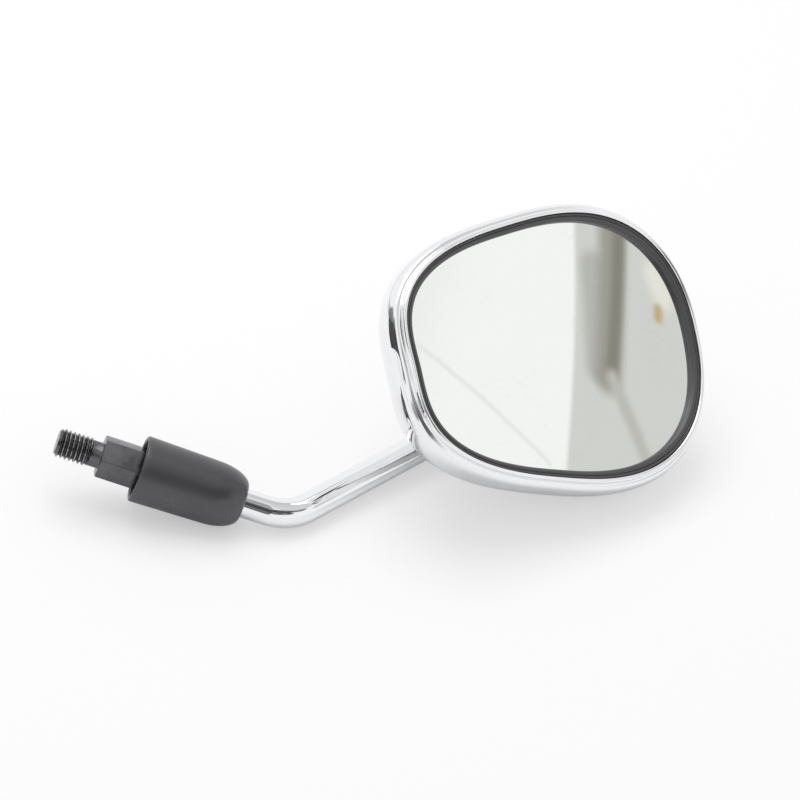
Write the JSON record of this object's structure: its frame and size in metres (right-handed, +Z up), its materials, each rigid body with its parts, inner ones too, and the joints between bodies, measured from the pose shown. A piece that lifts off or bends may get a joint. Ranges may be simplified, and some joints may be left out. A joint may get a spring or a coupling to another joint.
{
  "type": "motorcycle mirror",
  "caption": "Oval chrome handlebar mirror on a bent round arm, with a rubber-framed convex glass, a ball joint in the head and a hexagonal stud adapter under a boot.",
  "frame": {"origin": "on the axis of the threaded stud, in the plane of the adapter's shoulder", "axes": "+Z up the stem, away from the thread; -Y the way the glass faces; -X the side that the arm leans to"},
  "size_m": [0.1373, 0.0809, 0.2089],
  "materials": {
    "adapter": "black zinc plated steel, slightly worn on the thread crests",
    "rod": "bright chrome plated steel",
    "nut": "zinc plated steel",
    "ball": "ground steel",
    "boot": "dark grey soft plastic, satin",
    "liner": "natural nylon",
    "shell": "bright chrome plate on plastic",
    "socket": "black glass-filled nylon",
    "clamp": "pressed steel, yellow zinc",
    "fastener": "zinc plated steel",
    "spring": "spring steel wire",
    "foam": "closed-cell foam",
    "glass": "convex silvered glass with a slightly green tint",
    "gasket": "black rubber, satin"
  },
  "bodies": {
    "adapter": {"stud_adapter": "adapter"},
    "arm": {"arm_rod": "rod", "lock_nut": "nut", "pivot_ball": "ball"},
    "boot": {"boot": "boot"},
    "rear_liner": {"rear_liner": "liner"},
    "front_liner": {"front_liner": "liner"},
    "head": {"housing_shell": "shell", "socket": "socket", "clamp_plate": "clamp", "clamp_screw_1": "fastener", "clamp_screw_2": "fastener", "clamp_screw_3": "fastener", "clamp_washer_1": "fastener", "clamp_washer_2": "fastener", "clamp_washer_3": "fastener", "clamp_spring_1": "spring", "clamp_spring_2": "spring", "clamp_spring_3": "spring", "foam_pad": "foam", "mirror_glass": "glass", "gasket": "gasket"}
  },
  "joints": [
    {"name": "arm_swivel", "type": "hinge", "parent": "adapter", "child": "arm", "pos_m": [0, 0, 0.015], "axis": [0, 0, 1], "range_deg": [-90, 90]},
    {"name": "boot_slide", "type": "slide", "parent": "arm", "child": "boot", "axis": [0, 0, 1], "range_m": [-0.013, 0.006]},
    {"name": "head_roll", "type": "hinge", "parent": "arm", "child": "rear_liner", "pos_m": [-0.05702, -0.02337, 0.12903], "axis": [0.2818, -0.8988, 0.3358], "continuous": true},
    {"name": "head_pan", "type": "hinge", "parent": "rear_liner", "child": "front_liner", "pos_m": [-0.05702, -0.02337, 0.12903], "axis": [-0.8303, -0.4038, -0.3841], "range_deg": [-12, 12]},
    {"name": "head_tilt", "type": "hinge", "parent": "front_liner", "child": "head", "pos_m": [-0.05702, -0.02337, 0.12903], "axis": [-0.4809, 0.1706, 0.86], "range_deg": [-12, 12]}
  ]
}
